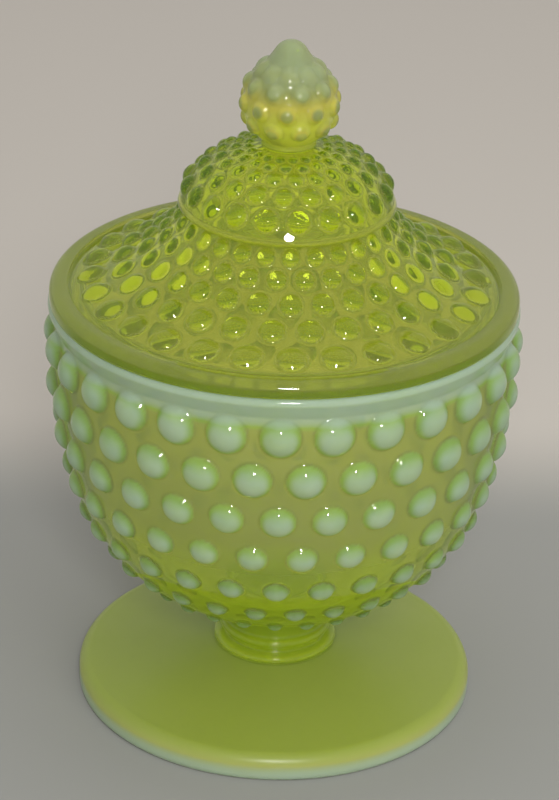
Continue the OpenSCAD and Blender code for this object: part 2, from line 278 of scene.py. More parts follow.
class StageLook(bpy.types.PropertyGroup):
    """Floor, light and camera."""

    floor_near: colour("Floor near", "Floor under and before the dish", (0.28, 0.28, 0.265))
    floor_far: colour("Floor far", "Floor behind the dish", (0.52, 0.485, 0.44))
    far_from: length("Far from", "Distance behind the axis where the far floor starts", 0.10)
    far_full: length("Far full", "Distance behind the axis where the far floor is full", 0.19)
    room_front: colour("Room front", "Light of the room from before the dish", (0.45, 0.45, 0.45))
    room_back: colour("Room back", "Light of the room from behind the dish", (0.52, 0.50, 0.47))
    room_from: share("Room from", "How far back the light looks when it starts to change", -0.3)
    room_full: share("Room full", "How far back the light looks when it has changed", 0.6)
    room_through: share("Room through", "Strength of the room's light when it is seen through glass", 1.3)
    lens: share("Lens", "Focal length in millimetres on a 36 mm frame", 134.7)
    pitch: turn("Pitch", "How far the camera looks down", 26.57)
    roll: turn("Roll", "How far the camera leans", 1.64)
    place: FloatVectorProperty(
        name="Place", description="Place of the camera", default=(-0.0006, -0.8267, 0.5121), size=3,
        subtype="TRANSLATION", unit="LENGTH",
    )


class CandyDish(bpy.types.PropertyGroup):
    """All settings of the dish."""

    foot: PointerProperty(type=FootSizes)
    collar: PointerProperty(type=CollarSizes)
    bowl: PointerProperty(type=BowlSizes)
    lid: PointerProperty(type=LidSizes)
    knob: PointerProperty(type=KnobSizes)
    glass: PointerProperty(type=GlassLook)
    milk: PointerProperty(type=MilkShares)
    stage: PointerProperty(type=StageLook)


# Half sections

def steps(distance, step):
    """How many points divide a distance at about one step."""
    return max(2, math.ceil(distance / step) + 1)


def line(start, end, step=PLAIN_STEP):
    """Points on a straight stretch of a section."""
    start, end = np.array(start), np.array(end)
    at = np.linspace(0, 1, steps(np.linalg.norm(end - start), step))[:, None]
    return start + (end - start) * at


def arc(centre, radius, start, end, step=PLAIN_STEP):
    """Points on a round stretch of a section, from one angle to another."""
    a = np.linspace(start, end, steps(abs(end - start) * radius, step))
    return np.array(centre) + radius * np.stack([np.cos(a), np.sin(a)], 1)


def along(*stretches):
    """Joins stretches of a section, leaving out the points that two of them share."""
    points = [stretches[0]]
    for stretch in stretches[1:]:
        met = np.linalg.norm(points[-1][-1] - stretch[0]) < HAIR / 2
        points.append(stretch[1:] if met else stretch)
    return np.concatenate(points)


def inner_fillet(wall_r, centre, radius, fillet):
    """Centre of a rounding between an upright wall and a round stretch above it, and its angle there."""
    across = wall_r + fillet - centre[0]
    down = math.sqrt((radius + fillet) ** 2 - across ** 2)
    return (wall_r + fillet, centre[1] - down), math.atan2(-down, across)


class Zone:
    """A stretch of a half section that is turned round the axis with one number of columns."""

    def __init__(self, points, columns, part, outward=None, rings=()):
        self.points, self.columns, self.part = points, columns, part
        self.outward, self.rings = outward, rings


class HobRing:
    """A ring of like hobnails, each part of a ball that stands out of the wall."""

    def __init__(self, number, base, lean, width, height, turned):
        ball = (width * width / 4 + height * height) / (2 * height)
        self.number, self.ball, self.height, self.turned = number, ball, height, turned
        self.base, self.half = np.array(base), width / 2
        self.upward = np.array([-math.sin(lean), math.cos(lean)])
        self.centre = self.base + (height - ball) * np.array([math.cos(lean), math.sin(lean)])

    def climb(self, points):
        """How far up its hobnail each point lies, from -1 at the lower edge to 1 at the upper edge."""
        return np.clip((points - self.base) @ self.upward / self.half, -1, 1)[:, None]

    def rise(self, points, outward, angles):
        """How far out along the wall's normal the ring's balls lie, for each point and angle."""
        pitch = 2 * math.pi / self.number
        off = np.mod(angles - self.turned + pitch / 2, pitch) - pitch / 2
        r, z = points[:, :1], points[:, 1:]
        nr, nz = outward[:, :1], outward[:, 1:]
        x, y, up = r * np.cos(off) - self.centre[0], r * np.sin(off), z - self.centre[1]
        b = nr * np.cos(off) * x + nr * np.sin(off) * y + nz * up
        inside = b * b - (x * x + y * y + up * up - self.ball ** 2)
        return np.where(inside > 0, np.sqrt(np.maximum(inside, 0)) - b, BELOW_ALL)


def soft_rise(rise, fillet):
    """The larger of nought and rise, with a soft edge that is as wide as the fillet."""
    near = np.maximum(fillet - np.abs(rise), 0) / fillet
    return np.maximum(rise, 0) + near * near * fillet / 4


def zone_rings(zone, fillet):
    """Points of a turned zone as an array of rings, how high each stands on a hobnail, and how far up it."""
    angles = np.arange(zone.columns) * 2 * math.pi / zone.columns
    radius = np.repeat(zone.points[:, :1], zone.columns, 1)
    height = np.repeat(zone.points[:, 1:], zone.columns, 1)
    on_hob, climb = np.zeros_like(radius), np.zeros_like(radius)
    if zone.rings:
        rise = np.full_like(radius, BELOW_ALL)
        for ring in zone.rings:
            found = ring.rise(zone.points, zone.outward, angles[None])
            stands = np.clip(found / ring.height, 0, 1)
            climb = np.where(stands > on_hob, ring.climb(zone.points), climb)
            on_hob = np.maximum(on_hob, stands)
            rise = np.maximum(rise, found)
        rise = soft_rise(rise, fillet)
        radius = radius + rise * zone.outward[:, :1]
        height = height + rise * zone.outward[:, 1:]
    xyz = np.stack([radius * np.cos(angles), radius * np.sin(angles), height], 2)
    return xyz, on_hob, climb


def bridge(low, high):
    """Faces between two rings of points, where one may have several times the columns of the other."""
    many = max(len(low), len(high))
    few = min(len(low), len(high))
    per = many // few
    faces = []
    for i in range(few):
        j = (i + 1) % few
        if len(low) >= len(high):
            edge = [low[(i * per + k) % many] for k in range(per + 1)]
            faces.append(edge + [high[j], high[i]])
        else:
            edge = [high[(i * per + k) % many] for k in range(per + 1)]
            faces.append([low[i], low[j]] + edge[::-1])
    return faces


def turned_glass(name, axis, zones, fillet):
    """A closed mesh turned from zones, which starts and ends on the axis at two heights.

    Each point keeps its part of the section, how high it stands on a hobnail and how far up it."""
    points, faces, joint, parts, hobs, climbs = [], [], [], [], [], []
    rings = []
    total = 0
    for zone in zones:
        for ring, lift, climb in zip(*zone_rings(zone, fillet)):
            rings.append(list(range(total, total + zone.columns)))
            total += zone.columns
            points.append(ring)
            hobs.append(lift)
            climbs.append(climb)
            parts.extend([zone.part] * zone.columns)
            if len(rings) > 1:
                made = bridge(rings[-2], rings[-1])
                faces.extend(made)
                joint.extend([zone.part == "joint"] * len(made))
    for ring, height, end in ((rings[0][::-1], axis[0], zones[0]), (rings[-1], axis[1], zones[-1])):
        points.append(np.array([[0, 0, height]]))
        hobs.append(np.ones(1))
        climbs.append(np.ones(1))
        parts.append(end.part)
        faces.extend([ring[i - 1], ring[i], total] for i in range(len(ring)))
        joint.extend([end.part == "joint"] * len(ring))
        total += 1
    mesh = bpy.data.meshes.new(name)
    mesh.from_pydata(np.concatenate(points).tolist(), [], faces)
    mesh.polygons.foreach_set("use_smooth", np.ones(len(faces), bool))
    if len(mesh.vertices) - len(mesh.edges) + len(mesh.polygons) != 2:
        raise RuntimeError(f"{name} isn't a closed body")
    mesh.attributes.new("joint", "FLOAT", "FACE").data.foreach_set("value", np.array(joint, np.float32))
    return mesh, np.array(parts), np.concatenate(hobs), np.concatenate(climbs)


def mark(mesh, name, values):
    """Keeps a value for each point of the mesh, for its material to read."""
    mesh.attributes.new(name, "FLOAT", "POINT").data.foreach_set("value", np.asarray(values, np.float32))


def heights(mesh):
    """Height and distance from the axis of each point."""
    co = np.empty(len(mesh.vertices) * 3, np.float32)
    mesh.vertices.foreach_get("co", co)
    co = co.reshape(-1, 3)
    return co[:, 2], np.hypot(co[:, 0], co[:, 1])


def ramp(values, start, end):
    """A soft change from 0 to 1 between two values."""
    t = np.clip((values - start) / (end - start), 0, 1)
    return t * t * (3 - 2 * t)


def ring_share(shrink, number, k):
    """Share of the way from the first ring to the last at which ring k comes, with a shrinking pitch."""
    return (1 - shrink ** k) / (1 - shrink ** (number - 1))


def shrinking_rings(path, hobs, rows, shrink, fill, rise, turned):
    """Rings of hobnails on a round stretch of wall, whose pitch and width shrink from ring to ring.

    The path is the wall's centre and radius, the angles of its first and last ring, and by how much the way
    out of the glass is turned from the way out of that centre."""
    centre, radius, first, last, flip = path
    first_width = fill * radius * abs(last - first) * ring_share(shrink, rows, 1)
    rings = []
    for k in range(rows):
        a = first + (last - first) * ring_share(shrink, rows, k)
        place = centre + radius * np.array([math.cos(a), math.sin(a)])
        width = first_width * shrink ** k
        stagger = turned + (k % 2) * math.pi / hobs
        rings.append(HobRing(hobs, place, a + flip, width, width * rise, stagger))
    return rings


# Materials

# What glass goes through as it is struck, at even steps of how far it was struck
OPAL_STAGES = ("Glow", "Haze", "Leaf", "Opal")
HAZE, LEAF, OPAL = 1 / 3, 2 / 3, 1.0
# How much the glass bends light, and what lets it pass straight through where two pieces were joined hot
GLASS_BEND, NO_BEND = 1.5, 1.0
WHITE = (1.0, 1.0, 1.0)
SOFT_WHITE = (1.0, 0.99, 0.97)


def opaque(rgb):
    """A colour with full alpha."""
    return (*rgb, 1.0)


def group_sockets(tree, way, kind, *labels):
    """Gives a node group named inputs or outputs of one kind."""
    for label in labels:
        tree.interface.new_socket(name=label, in_out=way, socket_type=kind)


def step_node(tree, value, start, end, soft=False):
    """Adds a node that goes from 0 to 1 while a value goes from start to end."""
    node = tree.nodes.new("ShaderNodeMapRange")
    node.interpolation_type = "SMOOTHSTEP" if soft else "LINEAR"
    node.inputs["From Min"].default_value = start
    node.inputs["From Max"].default_value = end
    tree.links.new(value, node.inputs["Value"])
    return node.outputs["Result"]


def change_node(tree, amount, start, end):
    """Adds a node that goes from start to end while an amount goes from 0 to 1."""
    node = tree.nodes.new("ShaderNodeMapRange")
    node.inputs["To Min"].default_value = start
    node.inputs["To Max"].default_value = end
    tree.links.new(amount, node.inputs["Value"])
    return node.outputs["Result"]


def blend_node(tree, amount, first, second):
    """Adds a node that blends two colours, each a plain colour or another node's output."""
    node = tree.nodes.new("ShaderNodeMix")
    node.data_type = "RGBA"
    tree.links.new(amount, node.inputs["Factor"])
    for socket, rgb in zip(node.inputs[6:8], (first, second)):
        if isinstance(rgb, bpy.types.NodeSocket):
            tree.links.new(rgb, socket)
        else:
            socket.default_value = opaque(rgb)
    return node.outputs[2]


def axis_node(tree, space, axis):
    """Adds nodes that read one axis of a kind of coordinates."""
    place = tree.nodes.new("ShaderNodeTexCoord")
    axes = tree.nodes.new("ShaderNodeSeparateXYZ")
    tree.links.new(place.outputs[space], axes.inputs[0])
    return axes.outputs[axis]


def struck_opal_group():
    """Node group: glow that turns to haze, green and blue-white where the glass was struck."""
    tree = bpy.data.node_groups.new("struck_opal", "ShaderNodeTree")
    group_sockets(tree, "INPUT", "NodeSocketColor", *OPAL_STAGES)
    group_sockets(tree, "INPUT", "NodeSocketFloat", "Strike", "Cloud scale", "Cloud depth")
    group_sockets(tree, "OUTPUT", "NodeSocketColor", "Color")
    nodes, links = tree.nodes, tree.links
    ins, outs = nodes.new("NodeGroupInput"), nodes.new("NodeGroupOutput")
    place = nodes.new("ShaderNodeTexCoord")
    clouds = nodes.new("ShaderNodeTexNoise")
    clouds.inputs["Detail"].default_value = 3.0
    clouds.inputs["Distortion"].default_value = 0.6
    links.new(place.outputs["Object"], clouds.inputs["Vector"])
    links.new(ins.outputs["Cloud scale"], clouds.inputs["Scale"])
    centred = nodes.new("ShaderNodeMath")
    centred.operation = "SUBTRACT"
    centred.inputs[1].default_value = 0.5
    links.new(clouds.outputs["Fac"], centred.inputs[0])
    drift = nodes.new("ShaderNodeMath")
    drift.operation = "MULTIPLY_ADD"
    drift.use_clamp = True
    links.new(centred.outputs[0], drift.inputs[0])
    links.new(ins.outputs["Cloud depth"], drift.inputs[1])
    links.new(ins.outputs["Strike"], drift.inputs[2])
    below = ins.outputs[OPAL_STAGES[0]]
    for k, label in enumerate(OPAL_STAGES[1:]):
        part = step_node(tree, drift.outputs[0], HAZE * k, HAZE * (k + 1))
        below = blend_node(tree, part, below, ins.outputs[label])
    links.new(below, outs.inputs["Color"])
    return tree


def mould_skin_group():
    """Node group: the faint unevenness of glass that was pressed in a mould and fire polished."""
    tree = bpy.data.node_groups.new("mould_skin", "ShaderNodeTree")
    group_sockets(tree, "INPUT", "NodeSocketFloat", "Smoothest", "Roughest", "Scale")
    group_sockets(tree, "OUTPUT", "NodeSocketFloat", "Roughness", "Height")
    nodes, links = tree.nodes, tree.links
    ins, outs = nodes.new("NodeGroupInput"), nodes.new("NodeGroupOutput")
    place = nodes.new("ShaderNodeTexCoord")
    waves = nodes.new("ShaderNodeTexNoise")
    waves.inputs["Detail"].default_value = 2.0
    links.new(place.outputs["Object"], waves.inputs["Vector"])
    links.new(ins.outputs["Scale"], waves.inputs["Scale"])
    spread = nodes.new("ShaderNodeMapRange")
    spread.inputs["From Min"].default_value = 0.35
    spread.inputs["From Max"].default_value = 0.75
    links.new(waves.outputs["Fac"], spread.inputs["Value"])
    links.new(ins.outputs["Smoothest"], spread.inputs["To Min"])
    links.new(ins.outputs["Roughest"], spread.inputs["To Max"])
    links.new(spread.outputs["Result"], outs.inputs["Roughness"])
    links.new(waves.outputs["Fac"], outs.inputs["Height"])
    return tree


def shared_group(name, make):
    """The node group of that name, built the first time it is asked for."""
    return bpy.data.node_groups.get(name) or make()


def place_group(nodes, tree, **values):
    """A node group in a material, with its own values."""
    node = nodes.new("ShaderNodeGroup")
    node.node_tree = tree
    for label, value in values.items():
        node.inputs[label.replace("_", " ")].default_value = value
    return node


def attribute(nodes, name):
    """Reads a value that the mesh keeps for each of its points or faces."""
    node = nodes.new("ShaderNodeAttribute")
    node.attribute_name = name
    return node.outputs["Fac"]


def opalescent_glass(name, look, stages, clouded, finish):
    """Tinted clear glass that turns milky where the mesh says it was struck, both with a faint painted glow.

    It takes a colour for each stage, scale and depth of its clouds, and its smoothest and roughest finish."""
    mat = bpy.data.materials.new(name)
    mat.use_nodes = True
    tree = mat.node_tree
    nodes, links = tree.nodes, tree.links
    nodes.clear()
    out = nodes.new("ShaderNodeOutputMaterial")
    struck = attribute(nodes, "opal")

    skin = place_group(
        nodes, shared_group("mould_skin", mould_skin_group), Smoothest=finish[0], Roughest=finish[1],
        Scale=70.0,
    )
    waves = nodes.new("ShaderNodeBump")
    waves.inputs["Strength"].default_value = 0.06
    waves.inputs["Distance"].default_value = 0.0008
    links.new(skin.outputs["Height"], waves.inputs["Height"])

    clear = nodes.new("ShaderNodeBsdfPrincipled")
    clear.inputs["Transmission Weight"].default_value = 1.0
    clear.inputs["Metallic"].default_value = 0.0
    links.new(blend_node(tree, struck, WHITE, look.amber), clear.inputs["Base Color"])
    links.new(skin.outputs["Roughness"], clear.inputs["Roughness"])
    links.new(waves.outputs["Normal"], clear.inputs["Normal"])
    # Painted glow on the clear glass, lifting its dark refractions
    clear.inputs["Emission Color"].default_value = opaque(look.painted_glow)
    clear.inputs["Emission Strength"].default_value = look.painted_glow_level
    links.new(change_node(tree, attribute(nodes, "joint"), GLASS_BEND, NO_BEND), clear.inputs["IOR"])

    clouds = place_group(
        nodes, shared_group("struck_opal", struck_opal_group), Cloud_scale=clouded[0], Cloud_depth=clouded[1],
        **{label: opaque(rgb) for label, rgb in zip(OPAL_STAGES, stages)},
    )
    links.new(attribute(nodes, "strike"), clouds.inputs["Strike"])
    milky = nodes.new("ShaderNodeBsdfPrincipled")
    milky.inputs["Metallic"].default_value = 0.0
    milky.inputs["Subsurface Weight"].default_value = look.milk_depth
    milky.inputs["Subsurface Radius"].default_value = (1.0, 1.0, 0.7)
    milky.inputs["Subsurface Scale"].default_value = look.milk_spread
    # Painted glow in the leaf colour, which evens out the shading of the milky glass
    milky.inputs["Emission Color"].default_value = opaque(look.leaf_and_glow)
    milky.inputs["Emission Strength"].default_value = look.milk_painted_glow_level
    links.new(clouds.outputs["Color"], milky.inputs["Base Color"])
    links.new(skin.outputs["Roughness"], milky.inputs["Roughness"])
    links.new(waves.outputs["Normal"], milky.inputs["Normal"])

    mix = nodes.new("ShaderNodeMixShader")
    links.new(struck, mix.inputs["Fac"])
    links.new(clear.outputs[0], mix.inputs[1])
    links.new(milky.outputs[0], mix.inputs[2])
    links.new(mix.outputs[0], out.inputs["Surface"])
    body = nodes.new("ShaderNodeVolumeAbsorption")
    body.inputs["Color"].default_value = opaque(look.tint)
    body.inputs["Density"].default_value = look.density
    links.new(body.outputs[0], out.inputs["Volume"])
    return mat


# Pieces

def add_piece(mesh, material, body, node):
    """Puts a finished mesh in the scene, in place of the plain solid of the same name."""
    mesh.materials.append(material)
    piece = bpy.data.objects.new(mesh.name, mesh)
    bpy.context.scene.collection.objects.link(piece)
    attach(piece, body)
    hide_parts(node)
    return piece


class DISH_OT_foot(bpy.types.Operator):
    """Build the foot, milky all over and palest at its edge"""

    bl_idname = "dish.foot"
    bl_label = "Build foot"

    def execute(self, context):
        dish = context.scene.candy_dish
        size, milk = dish.foot, dish.milk
        rest_in = size.radius - size.bevel - size.rest_width
        hollow_r = (rest_in ** 2 + size.hollow ** 2) / (2 * size.hollow)
        reach = math.asin(rest_in / hollow_r)
        under = arc((0, size.hollow - hollow_r), hollow_r, math.pi / 2, math.pi / 2 - reach)
        collar_r = dish.collar.bead_radius
        edge_c = (size.radius - size.edge_round, size.edge_height - size.edge_round)
        edge = along(
            line(under[-1], (size.radius - size.bevel, 0)),
            line((size.radius - size.bevel, 0), (size.radius, size.bevel), FINE_STEP),
            line((size.radius, size.bevel), (size.radius, edge_c[1])),
            arc(edge_c, size.edge_round, 0, math.pi / 2, FINE_STEP),
            line((edge_c[0], size.edge_height), (collar_r, size.height)),
        )
        top = line((collar_r, size.height), (0, size.height))
        zones = [
            Zone(under[1:6], CORE, "under"),
            Zone(under[6:], PLAIN, "under"),
            Zone(edge[1:], PLAIN, "edge"),
            Zone(top[1:-4], PLAIN, "top"),
            Zone(top[-4:-1], CORE, "top"),
        ]
        mesh, parts, *_ = turned_glass(
            "pressed_foot", (size.hollow, size.height), zones, dish.glass.hob_fillet
        )
        z, r = heights(mesh)
        pale = ramp(r, size.radius - size.pale_width, size.radius)
        pale = pale * ramp(z, size.edge_height, size.pale_height)
        mark(mesh, "opal", np.full(len(parts), milk.foot))
        mark(mesh, "strike", milk.foot_strike + milk.foot_edge * pale)
        # Where the strike passes its second stage, on the upper rounding, the foot gets its painted warm glow
        # line
        stages = (dish.glass.foot_milk, dish.glass.foot_painted_glow_line, dish.glass.opal, dish.glass.opal)
        material = opalescent_glass(
            "foot_milk_glass", dish.glass, stages, clouded=(28.0, 0.10), finish=(0.30, 0.42),
        )
        add_piece(mesh, material, "dish", "foot")
        return {"FINISHED"}


class DISH_OT_collar(bpy.types.Operator):
    """Build the short clear stem between foot and bowl"""

    bl_idname = "dish.collar"
    bl_label = "Build stem collar"

    def execute(self, context):
        dish = context.scene.candy_dish
        size = dish.collar
        low, high = FOOT_TOP.z + HAIR, STEM_TOP.z - HAIR
        bead_c = (size.bead_radius - size.bead_round, low + size.bead_height - size.bead_round)
        ring_z = FOOT_TOP.z + size.bead_height + 2 * size.ring_radius
        wall = along(
            line((size.bead_radius, low), (size.bead_radius, bead_c[1])),
            arc(bead_c, size.bead_round, 0, math.pi / 2, FINE_STEP),
            line((bead_c[0], low + size.bead_height), (size.radius, low + size.bead_height), FINE_STEP),
            line((size.radius, low + size.bead_height), (size.radius, ring_z - size.ring_radius), FINE_STEP),
            arc((size.radius, ring_z), size.ring_radius, -math.pi / 2, math.pi / 2, FINE_STEP),
            line((size.radius, ring_z + size.ring_radius), (size.radius, high)),
        )
        zones = [
            Zone(np.array([(size.bead_radius / 2, low)]), CORE, "joint"),
            Zone(wall[:1], NARROW, "joint"),
            Zone(wall[1:], NARROW, "wall"),
            Zone(np.array([(size.radius / 2, high)]), CORE, "joint"),
        ]
        mesh, parts, *_ = turned_glass("stem_collar_glass", (low, high), zones, dish.glass.hob_fillet)
        mark(mesh, "opal", np.where(parts == "wall", dish.milk.stem, 0.0))
        mark(mesh, "strike", np.zeros(len(parts)))
        stages = (dish.glass.stem_glow, dish.glass.haze, dish.glass.leaf_and_glow, dish.glass.opal)
        material = opalescent_glass(
            "stem_clear_glass", dish.glass, stages, clouded=(40.0, 0.1), finish=(0.008, 0.03),
        )
        add_piece(mesh, material, "dish", "stem_collar")
        return {"FINISHED"}


class DISH_OT_bowl(bpy.types.Operator):
    """Build the bowl with its rows of opal hobnails and its plain rim"""

    bl_idname = "dish.bowl"
    bl_label = "Build bowl"

    def execute(self, context):
        dish = context.scene.candy_dish
        size, glass, milk = dish.bowl, dish.glass, dish.milk
        stem_r = dish.collar.radius
        low, rim_z = STEM_TOP.z + HAIR, BOWL_TOP.z - HAIR
        belly_z, floor_z = BOWL_TOP.z - size.belly_drop, STEM_TOP.z + size.neck_height
        sin_turn = math.sin(size.side_turn)
        side_arc = (belly_z - floor_z - size.base_arc * (1 - sin_turn)) / sin_turn
        side_c = np.array([size.radius - side_arc, belly_z])
        slope = np.array([math.cos(size.side_turn), -sin_turn])
        base_c = side_c + (side_arc - size.base_arc) * slope
        side_len = side_arc * size.side_turn
        wall_len = side_len + size.base_arc * (math.pi / 2 - size.side_turn)

        def wall_at(s):
            """Place and lean of the wall at a distance down from its widest place."""
            s = np.asarray(s, float)
            lean = np.where(s < side_len, -s / side_arc, -size.side_turn - (s - side_len) / size.base_arc)
            centre = np.where((s < side_len)[..., None], side_c, base_c)
            radius = np.where(s < side_len, side_arc, size.base_arc)[..., None]
            out = np.stack([np.cos(lean), np.sin(lean)], -1)
            return centre + radius * out, out, lean

        pitch = wall_len * size.reach / (size.rows - 1)
        rings = []
        for k in range(size.rows):
            place, _, lean = wall_at(k * pitch)
            fade = (size.top_fill - size.low_fill) * (k / (size.rows - 1)) ** size.taper
            width = pitch * (size.top_fill - fade)
            turned = FRONT + (k % 2) * math.pi / size.hobs
            rings.append(HobRing(size.hobs, place, float(lean), width, width * glass.hob_rise, turned))

        neck_c, neck_a = inner_fillet(stem_r, base_c, size.base_arc, size.neck_round)
        neck = along(
            line((stem_r, low), (stem_r, neck_c[1])),
            arc(neck_c, size.neck_round, math.pi, math.pi + neck_a, FINE_STEP),
        )
        bottom = side_len + size.base_arc * (-neck_a - size.side_turn)
        band_low = BOWL_TOP.z - size.rim_height
        above = -side_arc * math.asin((band_low - belly_z) / side_arc)
        s = np.linspace(bottom, above, steps(bottom - above, FINE_STEP))
        wall, outward, _ = wall_at(s)

        band_r = size.rim_radius - size.rim_round
        mouth_r = size.radius - size.wall
        lip_c = (mouth_r + size.lip_round, rim_z - size.lip_round)
        way = np.linspace(0, 1, steps(size.rim_flare, FINE_STEP))
        flare_r = wall[-1][0] + (size.rim_radius - wall[-1][0]) * way
        flare_top = (size.rim_radius, band_low + size.rim_flare)
        rim = along(
            np.stack([flare_r, band_low + size.rim_flare * way], 1),
            line(flare_top, (size.rim_radius, rim_z - size.rim_round), FINE_STEP),
            arc((band_r, rim_z - size.rim_round), size.rim_round, 0, math.pi / 2, FINE_STEP),
            line((band_r, rim_z), (lip_c[0], rim_z)),
            arc(lip_c, size.lip_round, math.pi / 2, math.pi, FINE_STEP),
        )
        inside = along(
            line((mouth_r, lip_c[1]), (mouth_r, belly_z)),
            arc(side_c, side_arc - size.wall, 0, -size.side_turn),
            arc(base_c, size.base_arc - size.wall, -size.side_turn, -math.pi / 2),
            line((base_c[0], floor_z + size.wall), (0, floor_z + size.wall)),
        )
        zones = [
            Zone(np.array([(stem_r / 2, low)]), CORE, "joint"),
            Zone(neck[:1], NARROW, "joint"),
            Zone(neck[1:-1], NARROW, "neck"),
            Zone(wall, FINE, "wall", outward, rings),
            Zone(rim[1:], FINE, "rim"),
            Zone(inside[1:-12], PLAIN, "inside"),
            Zone(inside[-12:-1], CORE, "inside"),
        ]
        mesh, parts, on_hob, climb = turned_glass(
            "hobnail_bowl", (low, inside[-1][1]), zones, glass.hob_fillet
        )
        z, _ = heights(mesh)
        # Heights among the lowest and the middle rows, between which the milk gets thicker
        low_row = wall_at(pitch * (size.rows - 1.6))[0][1]
        mid_row = wall_at(pitch * (size.rows - 3.5))[0][1]
        rows = milk.low_rows + (1 - milk.low_rows) * ramp(z, low_row - 0.004, low_row + 0.015)
        upper = ramp(z, low_row, mid_row + 0.02)
        # Each hobnail's edge: partly real milk, partly a painted pale glint outline over its dark refracted
        # rim
        edge = ramp(on_hob, 0.0, 0.22)
        # The milk and blue-white core thin out towards the upper side of each hobnail: partly thinner opal
        # there, partly painted light from above coming through
        core = ramp(on_hob, 0.20, 0.75) * ramp(climb, 1.1, 0.1)
        haze = milk.bowl + milk.bowl_upper * upper
        hob = (milk.hob_edge_milk_and_glint * edge + milk.hob_core * core) * rows
        band = ramp(z, band_low - size.rim_fade, band_low + 0.0025)
        outer = haze + (1 - haze) * hob
        outer = outer + (milk.rim - outer) * band
        lip = milk.lip * ramp(z, belly_z, rim_z)
        opal = np.select([parts == "joint", parts == "inside"], [0.0, lip], outer)
        mark(mesh, "opal", opal)
        faint = ramp(z, band_low - size.rim_fade, band_low - 0.001)
        strike = HAZE * upper * (1 - edge) + LEAF * edge + milk.hob_strike * (OPAL - LEAF) * core
        mark(mesh, "strike", np.where(parts == "neck", 0.0, np.maximum(strike, OPAL * faint)))
        stages = (glass.bowl_glow, glass.haze, glass.leaf_and_glow, glass.opal)
        material = opalescent_glass(
            "bowl_opal_glass", glass, stages, clouded=(60.0, 0.2), finish=(0.006, 0.025),
        )
        add_piece(mesh, material, "dish", "bowl")
        return {"FINISHED"}


